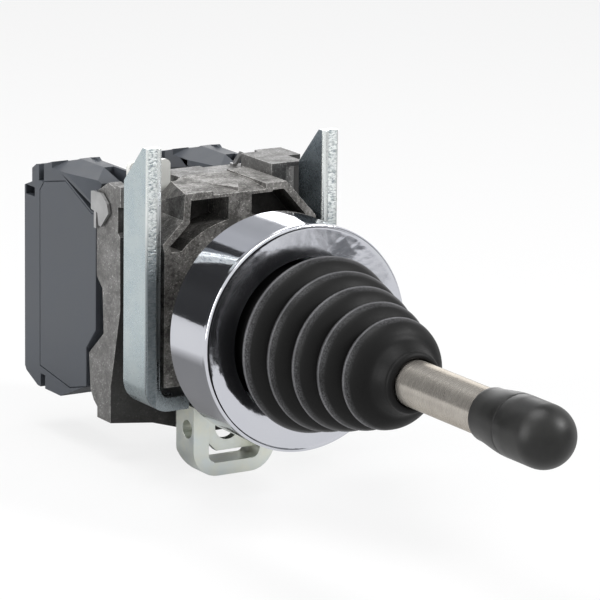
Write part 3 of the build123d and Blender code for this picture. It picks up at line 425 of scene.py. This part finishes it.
# The highest face shows whether all of them look outward.
probe = max(bm.faces, key=lambda f: f.calc_center_median().z)
if probe.normal.z < 0:
    bmesh.ops.reverse_faces(bm, faces=bm.faces)
bm.to_mesh(boot.data)
bm.free()
wall = boot.modifiers.new("wall", "SOLIDIFY")
wall.thickness = 0.6 * mm
wall.offset = -1
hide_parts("boot")
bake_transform(boot)


# The lever rod: round bar of nickel plated steel, brushed round its axis. It is pressed into the hub behind
# the boot and carries the knob at its front end.
rod_r, rod_front, rod_rear, chamfer = 4.0, -79.8, 3.0, 0.4
rod = turned(
    "rod_bar",
    [(0, rod_front), (rod_r - chamfer, rod_front), (rod_r, rod_front + chamfer)]
    + [(rod_r, y) for y in (-60, -40, -20)]
    + [(rod_r, rod_rear - chamfer), (rod_r - chamfer, rod_rear), (0, rod_rear)],
    around=128,
)
brushed, tree, body, place = finish("brushed_rod", (0.58, 0.54, 0.49), metallic=0.8, Anisotropic=0.35)
body.inputs["Specular Tint"].default_value = (0.5, 0.47, 0.43, 1)
lines = grain(tree, place, 0.10, detail=2, stretch=(0.02, 1, 0.02))
cloud = grain(tree, place, 3.0, detail=3, stretch=(0.6, 1, 0.6))
tone = sum_of(tree, "ADD", sum_of(tree, "MULTIPLY", lines, 0.5), sum_of(tree, "MULTIPLY", cloud, 0.5))
tone = spread(tree, tone, 0.35, 0.65, 0.0, 1.0)
tree.links.new(tint(tree, tone, (0.41, 0.38, 0.345), (0.52, 0.49, 0.445)), body.inputs["Base Color"])
tree.links.new(spread(tree, lines, 0.3, 0.7, 0.23, 0.29), body.inputs["Roughness"])
relief(tree, body, lines, 0.0015)
rod.data.materials.append(brushed)
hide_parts("lever_rod")
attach(rod, "lever")


# The knob: a satin black moulding pushed onto the rod, with a short conical collar,
# a fine parting line where the collar ends, and a round nose.
knob_r, knob_tip, collar_r, bore_r = 5.35, -89.2, 4.55, 4.02
bore_floor_r, mouth_r, lip_r = 3.9, 4.1, 4.42
collar_y, parting_y, bore_floor, collar_steps = -69.1, -77.1, -79.8, 16
collar_front = collar_y - 0.15


def flare(t):
    """The collar's point at a share t of its length, on a curve that leaves and meets its ends smoothly."""
    swell = (0.5 - 0.5 * math.cos(math.pi * t)) ** 0.85
    return collar_r + (knob_r - collar_r) * swell, collar_front + (parting_y - collar_y) * t


knob = turned(
    "knob_grip",
    [(bore_floor_r, bore_floor), (bore_r, collar_y - 0.1), (mouth_r, collar_y)]
    + [(lip_r, collar_y), (collar_r, collar_front)]
    + [flare(i / collar_steps) for i in range(1, collar_steps)]
    + [(knob_r, parting_y), (knob_r - 0.05, parting_y - 0.15), (knob_r + 0.01, parting_y - 0.3)]
    + [(knob_r, y) for y in (-79.5, -81.5)]
    + arc((0, knob_tip + knob_r), knob_r, 0, -90, 28)
    + [(0, bore_floor)],
    around=160,
    sharp=50,
)
satin, tree, body, place = finish("black_plastic", (0.014, 0.014, 0.0135), Specular_IOR_Level=0.3)
skin = grain(tree, place, 0.5, detail=3)
cloud = grain(tree, place, 5.0, detail=4)
tree.links.new(spread(tree, cloud, 0.3, 0.7, 0.34, 0.46), body.inputs["Roughness"])
worn = spread(tree, cloud, 0.4, 0.75, 0.0, 1.0)
tree.links.new(tint(tree, worn, (0.012, 0.012, 0.0115), (0.022, 0.022, 0.021)), body.inputs["Base Color"])
relief(tree, body, skin, 0.006)
knob.data.materials.append(satin)
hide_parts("knob")
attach(knob, "lever")


# The fixing collar and the contact carrier: rough die castings behind the panel, rubbed bare on their edges,
# with painted shade in their pockets and on some faces that stand in shade. The collar clamps the panel
# against the bezel, and two screws hold the carrier to the collar.
def joined_copy(node):
    """A bmesh of a CAD node with its loose triangles joined and its flat faces made whole."""
    bm = bmesh.new()
    bm.from_mesh(frame["nodes"][node].data)
    bmesh.ops.remove_doubles(bm, verts=bm.verts, dist=2e-6)
    bmesh.ops.dissolve_limit(bm, angle_limit=math.radians(0.8), verts=bm.verts, edges=bm.edges)
    return bm


def rounded(mesh, edge_mm, segments, sharp):
    """A piece from a mesh, its flat faces kept flat and its sharp edges rounded."""
    mesh.shade_smooth()
    mesh.set_sharp_from_angle(angle=math.radians(sharp))
    piece = bpy.data.objects.new(mesh.name, mesh)
    bpy.context.scene.collection.objects.link(piece)
    bevel = piece.modifiers.new("edges", "BEVEL")
    bevel.width = edge_mm * mm
    bevel.segments = segments
    bevel.limit_method = "ANGLE"
    bevel.angle_limit = math.radians(30)
    bevel.harden_normals = True
    return piece


def edged(name, node, edge_mm, segments=2, sharp=35):
    """A piece in a CAD node's place, with its sharp edges rounded."""
    bm = joined_copy(node)
    mesh = bpy.data.meshes.new(name)
    bm.to_mesh(mesh)
    bm.free()
    return rounded(mesh, edge_mm, segments, sharp)


def baked(piece):
    """Applies a piece's modifiers, so that its mesh is plain."""
    bpy.context.view_layer.update()
    graph = bpy.context.evaluated_depsgraph_get()
    mesh = bpy.data.meshes.new_from_object(piece.evaluated_get(graph), depsgraph=graph)
    piece.modifiers.clear()
    piece.data = mesh
    return piece


def cast(name, node, edge_mm, painted_shade, extra=()):
    """A CAD node as a casting with rounded edges, and with the boxes in extra added to it.
    Its faces are marked by whether they belong to an edge, and by how much painted shade they get from the
    function given for it."""
    bm = joined_copy(node)
    for low, high in extra:
        size = [(b - a) * mm for a, b in zip(low, high)]
        middle = [(a + b) / 2 * mm for a, b in zip(low, high)]
        bmesh.ops.create_cube(bm, size=1, matrix=Matrix.LocRotScale(middle, None, size))
    mesh = bpy.data.meshes.new(name)
    bm.to_mesh(mesh)
    bm.free()
    piece = baked(rounded(mesh, edge_mm, 2, 32))
    mesh = piece.data
    edge = mesh.attributes.new("edge", "FLOAT", "FACE")
    # A face attribute for the painted shade, set from the function given for it.
    painted_dark = mesh.attributes.new("painted_shade", "FLOAT", "FACE")
    narrowest = 0.9 * edge_mm * mm
    for i, face in enumerate(mesh.polygons):
        corners = [mesh.vertices[v].co for v in face.vertices]
        longest = max((a - b).length for a, b in zip(corners, corners[1:] + corners[:1]))
        edge.data[i].value = 1.0 if face.area < narrowest * longest else 0.0
        painted_dark.data[i].value = painted_shade(face.center / mm, face.normal)
    return piece


def blended(tree, factor, under, over):
    """The colour that a socket gives, changed towards a plain colour by a factor."""
    given = {"Factor": factor, 6: under, 7: (*over, 1)}
    return put(tree, "ShaderNodeMix", given, data_type="RGBA").outputs[2]


def wear(piece, material):
    """Gives a piece one material in place of those it has."""
    piece.data.materials.clear()
    piece.data.materials.append(material)


def casting(name, dark, light, metallic, roughness, depth_mm):
    """Cast zinc alloy: a grainy skin with bright specks, rubbed on its edges, with painted shade in its
    hollows.
    """
    material, tree, body, place = finish(name, light, metallic=metallic)
    pits = grain(tree, place, 0.5, detail=5, rough=0.75)
    cloud = grain(tree, place, 3.5, detail=5, rough=0.6)
    specks = spread(tree, grain(tree, place, 0.30, detail=2), 0.60, 0.68, 0.0, 0.8)
    edge = put(tree, "ShaderNodeAttribute", attribute_name="edge").outputs["Fac"]
    rubbed = sum_of(tree, "MULTIPLY", edge, spread(tree, pits, 0.38, 0.58, 0.0, 0.9))
    mottled = spread(tree, sum_of(tree, "ADD", pits, cloud), 0.84, 1.16, 0.0, 1.0)
    bare = tuple(min(1.0, c * 2.8) for c in light)
    bright = sum_of(tree, "MAXIMUM", rubbed, sum_of(tree, "MULTIPLY", specks, mottled))
    worn = blended(tree, bright, tint(tree, mottled, dark, light), bare)
    # Painted shade: the faces marked for it are darkened, more the further back they lie, from 9.8 mm to
    # 12.5 mm.
    painted_shade = put(tree, "ShaderNodeAttribute", attribute_name="painted_shade").outputs["Fac"]
    behind = put(tree, "ShaderNodeSeparateXYZ", {0: place}).outputs[1]
    painted_shade = sum_of(tree, "MULTIPLY", painted_shade, spread(tree, behind, 9.8 * mm, 12.5 * mm, 0.3, 1.0))
    # The colour of the painted shade, a darker copy of the dark colour.
    painted_dark = tuple(c * 0.35 for c in dark)
    tree.links.new(blended(tree, painted_shade, worn, painted_dark), body.inputs["Base Color"])
    rough = spread(tree, mottled, 0.0, 1.0, roughness + 0.12, roughness - 0.08)
    tree.links.new(rough, body.inputs["Roughness"])
    relief(tree, body, pits, depth_mm)
    return material


casting_front, casting_rear, pocket_front, left_side = 10.1, 23.5, 11, -10


def in_collar(at, normal):
    """How much painted shade a face of the collar gets: its left side some, its pockets' floors and inner
    walls most.
    """
    # Painted shade on the collar's left side.
    if normal.x < -0.5 and at.x < left_side:
        return 0.55
    if at.y < casting_front or at.y > casting_rear:
        return 0.0
    # Painted shade in the pockets: on their floors, and on walls that face the lever's axis.
    floor = max(0.0, -normal.y) if at.y > pocket_front else 0.0
    inner = max(0.0, -(normal.x * at.x + normal.z * at.z) / max(1.0, math.hypot(at.x, at.z)))
    return 0.9 * min(1.0, max(floor, 1.5 * inner))


cast_metal = casting("cast_metal", (0.08, 0.077, 0.072), (0.27, 0.262, 0.25), 0.45, 0.5, 0.12)
collar = cast("collar_casting", "fixing_collar", 0.28, in_collar)
wear(collar, cast_metal)
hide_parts("fixing_collar")
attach(collar, "head")

carrier_metal = casting("carrier_metal", (0.115, 0.113, 0.11), (0.185, 0.182, 0.178), 0.4, 0.5, 0.03)
tower_left, tower_right, carrier_side = 14.0, 17.0, 20.0
tower_y, ear_y, tower_low, tower_top = 22.7, 23.0, 15.0, 23.98
roof_left, roof_low, roof_rear, wall_top = 14.5, 23.1, 29.8, 23.3
tower_front = ((tower_left, tower_y, tower_low), (tower_right, 23.5, wall_top))
ear = ((tower_left, ear_y, tower_low), (carrier_side, 24.0, wall_top))
roof_lip = ((roof_left, tower_y, roof_low), (tower_right, roof_rear, tower_top))
roof_back = ((roof_left, ear_y - 0.1, roof_low), (carrier_side, roof_rear, tower_top - 0.02))
recess_left, recess_low, recess_top, recess_rear = 14.2, 10, 23.0, 28
shoulder_low, corner_left, corner_low = 17.5, 10, 8


def in_carrier(at, normal):
    """How much painted shade a face of the carrier gets: the recess beside the tower most, and the low faces
    that look forward, as the fork's painted shadow.
    """
    beside = at.x > tower_right - 0.1 and at.z < recess_top and at.y < recess_rear and normal.z < 0.5
    recess = at.x > recess_left and at.z > recess_low and at.y > ear_y - 0.15 and normal.y < -0.5
    # Painted shade in the recess beside the tower.
    if beside or recess:
        return 1.0
    # The high faces get no painted shade; the low faces that look forward get the fork's painted shadow.
    if at.z > shoulder_low or (at.x > corner_left and at.z > corner_low):
        return 0.0
    return 0.8 * max(0.0, -normal.y)


tower = (tower_front, ear, roof_lip, roof_back)
carrier = cast("carrier_casting", "contact_carrier", 0.28, in_carrier, extra=tower)
wear(carrier, carrier_metal)
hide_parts("contact_carrier")
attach(carrier, "head")


# The locking fork and the loop bracket: sheared and bent from thick steel strip, then zinc plated. The fork
# slides down over the neck and locks the collar, and the bracket below it gives a tool its grip.
def plating(name, colour, warm):
    """Bright zinc plating: a cool silver with faint blotches."""
    material, tree, body, place = finish(name, colour, metallic=0.9)
    cloud = grain(tree, place, 6.0, detail=5, rough=0.6)
    fine = grain(tree, place, 0.6, detail=3)
    blotches = spread(tree, cloud, 0.35, 0.65, 0.0, 1.0)
    tree.links.new(tint(tree, blotches, colour, warm), body.inputs["Base Color"])
    rough = spread(tree, sum_of(tree, "ADD", cloud, fine), 0.7, 1.3, 0.28, 0.46)
    tree.links.new(rough, body.inputs["Roughness"])
    relief(tree, body, fine, 0.008)
    return material


zinc = plating("zinc_plating", (0.50, 0.57, 0.60), (0.58, 0.63, 0.64))
fork_half, fork_thick, fork_face, shear_roll = 19.25, 3.0, 9.1, 0.5
fork_inner = fork_half - fork_thick


def on_inner_front(edge):
    """Whether an edge of the fork lies where an arm's inner side meets its front."""
    places = [(abs(v.co.x / mm) - fork_inner, v.co.y / mm - fork_face) for v in edge.verts]
    return all(abs(x) < 0.02 and abs(y) < 0.02 for x, y in places)


bm = joined_copy("locking_fork")
rolled = [e for e in bm.edges if on_inner_front(e)]
bmesh.ops.bevel(bm, geom=rolled, offset=shear_roll * mm, segments=5, affect="EDGES", profile=0.5)
fork_mesh = bpy.data.meshes.new("fork_plate")
bm.to_mesh(fork_mesh)
bm.free()
fork = rounded(fork_mesh, 0.3, 3, 32)

sheared, tree, body, place = finish("sheared_zinc", (0.5, 0.55, 0.56), metallic=0.9)
at = put(tree, "ShaderNodeSeparateXYZ", {0: place})
cloud = grain(tree, place, 6.0, detail=5, rough=0.6)
fine = grain(tree, place, 0.6, detail=3)
crumbs = grain(tree, place, 0.38, detail=4, rough=0.75, stretch=(0.4, 1, 1))
# Across an arm's front face the value runs from 0 at the outer edge to 1 at the inner one.
left = spread(tree, at.outputs[0], -fork_half * mm, -fork_inner * mm, 0.0, 1.0)
right = spread(tree, at.outputs[0], fork_inner * mm, fork_half * mm, 1.0, 0.0)
across = sum_of(tree, "MULTIPLY", left, right)
at_front = spread(tree, at.outputs[1], (fork_face + 0.65) * mm, (fork_face + 0.4) * mm, 0.0, 1.0)
# The torn band: where the shear broke the plate, rough and pitted, all down the arm but for its foot.
band = spread(tree, across, 0.05, 0.09, 0.0, 1.0)
band = sum_of(tree, "MULTIPLY", band, spread(tree, across, 0.62, 0.70, 1.0, 0.0))
band = sum_of(tree, "MULTIPLY", band, at_front)
band = sum_of(tree, "MULTIPLY", band, spread(tree, at.outputs[2], -17 * mm, -14 * mm, 0.0, 1.0))
torn = sum_of(tree, "MULTIPLY", band, spread(tree, crumbs, 0.40, 0.54, 0.85, 0.0))
blotches = spread(tree, cloud, 0.35, 0.65, 0.0, 1.0)
side = tint(tree, blotches, (0.42, 0.49, 0.52), (0.50, 0.56, 0.57))
# Colours of the fresh cut, the torn pits, the painted shade on the inner sides and the painted dark
# reflection.
fresh, pit, shadowed, reflected_dark = (0.76, 0.79, 0.78), (0.13, 0.17, 0.19), (0.17, 0.20, 0.23), (0.15, 0.18, 0.20)
pitted = blended(tree, torn, blended(tree, at_front, side, fresh), pit)
# Painted shade on the arms' inner sides, and a painted dark reflection down the middle height of their front
# faces.
inner_shade = spread(tree, sum_of(tree, "ABSOLUTE", at.outputs[0]), 16.3 * mm, 16.4 * mm, 0.8, 0.0)
inner_shade = sum_of(tree, "MULTIPLY", inner_shade, sum_of(tree, "SUBTRACT", 1.0, at_front))
high = spread(tree, at.outputs[2], 9 * mm, 18 * mm, 0.0, 1.0)
low = spread(tree, at.outputs[2], -16.5 * mm, -19 * mm, 0.0, 1.0)
dark_reflection = sum_of(tree, "SUBTRACT", 1.0, sum_of(tree, "ADD", high, low))
dark_reflection = sum_of(tree, "MULTIPLY", dark_reflection, sum_of(tree, "MULTIPLY", at_front, 0.85))
shaded_plating = blended(tree, dark_reflection, blended(tree, inner_shade, pitted, shadowed), reflected_dark)
tree.links.new(shaded_plating, body.inputs["Base Color"])
rough = spread(tree, sum_of(tree, "ADD", cloud, fine), 0.7, 1.3, 0.22, 0.36)
tree.links.new(sum_of(tree, "ADD", rough, sum_of(tree, "MULTIPLY", band, 0.1)), body.inputs["Roughness"])
height = sum_of(tree, "ADD", sum_of(tree, "MULTIPLY", fine, 0.008), sum_of(tree, "MULTIPLY", crumbs, band))
relief(tree, body, height, 0.25)
wear(fork, sheared)
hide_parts("locking_fork")
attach(fork, "head")

bracket = edged("bracket_strip", "loop_bracket", 0.3, segments=3)
wear(bracket, plating("bracket_plating", (0.66, 0.71, 0.70), (0.74, 0.75, 0.66)))
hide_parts("loop_bracket")
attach(bracket, "head")


# The contact blocks: slate grey mouldings, one for each direction. Each is a housing closed by a cover, and
# both hang on the carrier by its latch springs.
slate, tree, body, place = finish("slate_plastic", (0.10, 0.112, 0.13))
skin = grain(tree, place, 0.35, detail=3)
cloud = grain(tree, place, 7.0, detail=4)
flow = spread(tree, cloud, 0.3, 0.7, 0.0, 1.0)
tree.links.new(tint(tree, flow, (0.046, 0.052, 0.062), (0.060, 0.067, 0.079)), body.inputs["Base Color"])
tree.links.new(spread(tree, cloud, 0.3, 0.7, 0.42, 0.56), body.inputs["Roughness"])
relief(tree, body, skin, 0.008)
for side in ("left", "right"):
    for part in ("housing", "cover"):
        piece = edged(f"block_{part}_{side}_moulding", f"block_{part}_{side}", 0.15, sharp=12)
        wear(piece, slate)
        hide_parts(f"block_{part}_{side}")
        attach(piece, "head")


# The screws: zinc plated steel, each with a round head cut by a straight slot. Two hold the carrier to the
# collar, and one tightens each terminal. They are turned and slotted, so one tree makes them all.
screw_tree = bpy.data.node_groups.new("slotted_screws", "GeometryNodeTree")
given = sheet_of(screw_tree, "slotted_screws", [
    ("First place", "NodeSocketVector", (0.0, 0.0, 0.0)),
    ("Step", "NodeSocketVector", (0.0, 0.0, 0.024)),
    ("Number", "NodeSocketInt", 2),
    ("Shank radius", "NodeSocketFloat", 1.4 * mm),
    ("Shank length", "NodeSocketFloat", 9.0 * mm),
    ("Head radius", "NodeSocketFloat", 2.1 * mm),
    ("Head height", "NodeSocketFloat", 2.0 * mm),
    ("Slot width", "NodeSocketFloat", 0.7 * mm),
    ("Slot depth", "NodeSocketFloat", 0.9 * mm),
    ("Steel", "NodeSocketMaterial", None),
])


def bar(vertices, radius, length):
    """A cylinder with its middle at the origin."""
    sizes = {"Vertices": vertices, "Radius": given[radius], "Depth": given[length]}
    return put(screw_tree, "GeometryNodeMeshCylinder", sizes).outputs[0]


def lifted(mesh, height):
    """A mesh moved up by a height."""
    up = put(screw_tree, "ShaderNodeCombineXYZ", {2: height}).outputs[0]
    return put(screw_tree, "GeometryNodeTransform", {"Geometry": mesh, "Translation": up}).outputs[0]


# The head stands on the seat and the shank hangs below it; they overlap a little, so that they join.
overlap = 0.02 * mm
half_up = sum_of(screw_tree, "MULTIPLY", given["Head height"], 0.5)
head = lifted(bar(48, "Head radius", "Head height"), half_up)
half_down = sum_of(screw_tree, "MULTIPLY", given["Shank length"], -0.5)
shank = lifted(bar(32, "Shank radius", "Shank length"), sum_of(screw_tree, "ADD", half_down, overlap))
slot_size = put(screw_tree, "ShaderNodeCombineXYZ", {
    0: sum_of(screw_tree, "MULTIPLY", given["Head radius"], 2.2),
    1: given["Slot width"],
    2: sum_of(screw_tree, "MULTIPLY", given["Slot depth"], 2.0),
}).outputs[0]
slot_cut = put(screw_tree, "GeometryNodeMeshCube", {"Size": slot_size})
slot_cut = lifted(slot_cut.outputs[0], given["Head height"])
whole = put(screw_tree, "GeometryNodeMeshBoolean", {"Mesh 2": head}, operation="UNION")
screw_tree.links.new(shank, whole.inputs["Mesh 2"])
slotting = {"Mesh 1": whole.outputs[0], "Mesh 2": slot_cut}
slotted = put(screw_tree, "GeometryNodeMeshBoolean", slotting, operation="DIFFERENCE")
places = {"Count": given["Number"], "Start Location": given["First place"], "Offset": given["Step"]}
row = put(screw_tree, "GeometryNodeMeshLine", places, mode="OFFSET")
stood = put(screw_tree, "GeometryNodeInstanceOnPoints", {
    "Points": row.outputs[0], "Instance": slotted.outputs[0], "Rotation": (-math.pi / 2, 0.0, 0.0),
})
real = put(screw_tree, "GeometryNodeRealizeInstances", {"Geometry": stood.outputs[0]})
dressing = {"Geometry": real.outputs[0], "Material": given["Steel"]}
dressed = put(screw_tree, "GeometryNodeSetMaterial", dressing)
put(screw_tree, "NodeGroupOutput", {0: dressed.outputs[0]})

screw_zinc = plating("screw_plating", (0.52, 0.56, 0.57), (0.62, 0.63, 0.60))


def driven(name, node, sizes):
    """A row of screws in a CAD node's place, with their heads' edges eased."""
    screws = grown(name, screw_tree, Steel=screw_zinc, **sizes)
    eased = rounded(screws.data, 0.12, 2, 32)
    bpy.data.objects.remove(screws)
    eased.name = name
    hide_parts(node)
    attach(eased, "head")


terminal_x, terminal_seat, terminal_z = 12.5, 50.4, 12.0
for side, x in (("left", -terminal_x), ("right", terminal_x)):
    terminal_sizes = {
        "First place": (x * mm, terminal_seat * mm, -terminal_z * mm),
        "Step": (0.0, 0.0, 2 * terminal_z * mm),
    }
    driven(f"terminal_screw_pair_{side}", f"terminal_screws_{side}", terminal_sizes)
carrier_sizes = {
    "Shank radius": 1.5 * mm,
    "Shank length": 13.5 * mm,
    "Head radius": 2.75 * mm,
    "Slot width": 0.8 * mm,
    "Slot depth": 1.0 * mm,
    "First place": (0.0, 30.3 * mm, -20.9 * mm),
    "Step": (0.0, 6.7 * mm, 38.3 * mm),
}
driven("carrier_screw_pair", "carrier_screws", carrier_sizes)


# Everything that is left keeps its CAD shape and gets its own finish: the latch springs, pushers and seal,
# which show from outside, and the mechanism inside the neck and the blocks.
steel = plating("bright_steel", (0.36, 0.36, 0.36), (0.46, 0.46, 0.46))
nylon, tree, body, place = finish("natural_nylon", (0.80, 0.80, 0.77), roughness=0.42)
cloud = grain(tree, place, 4.0, detail=3)
tree.links.new(tint(tree, cloud, (0.74, 0.74, 0.70), (0.86, 0.86, 0.83)), body.inputs["Base Color"])
relief(tree, body, grain(tree, place, 0.5), 0.005)
brass, tree, body, place = finish("contact_brass", (0.78, 0.57, 0.25), metallic=1.0, roughness=0.3)
cloud = grain(tree, place, 2.0, detail=3)
tree.links.new(tint(tree, cloud, (0.66, 0.46, 0.18), (0.82, 0.62, 0.30)), body.inputs["Base Color"])
relief(tree, body, grain(tree, place, 0.2), 0.004)
by_slot = {
    "black_rubber": rubber, "cast_metal": cast_metal, "plated_steel": zinc, "bright_steel": steel,
    "natural_nylon": nylon, "contact_brass": brass,
}
for part in frame["record"]["subparts"]:
    node = frame["nodes"][part["node"]]
    if not node.hide_render and part["material_slot"] in by_slot:
        node.data.materials.clear()
        node.data.materials.append(by_slot[part["material_slot"]])
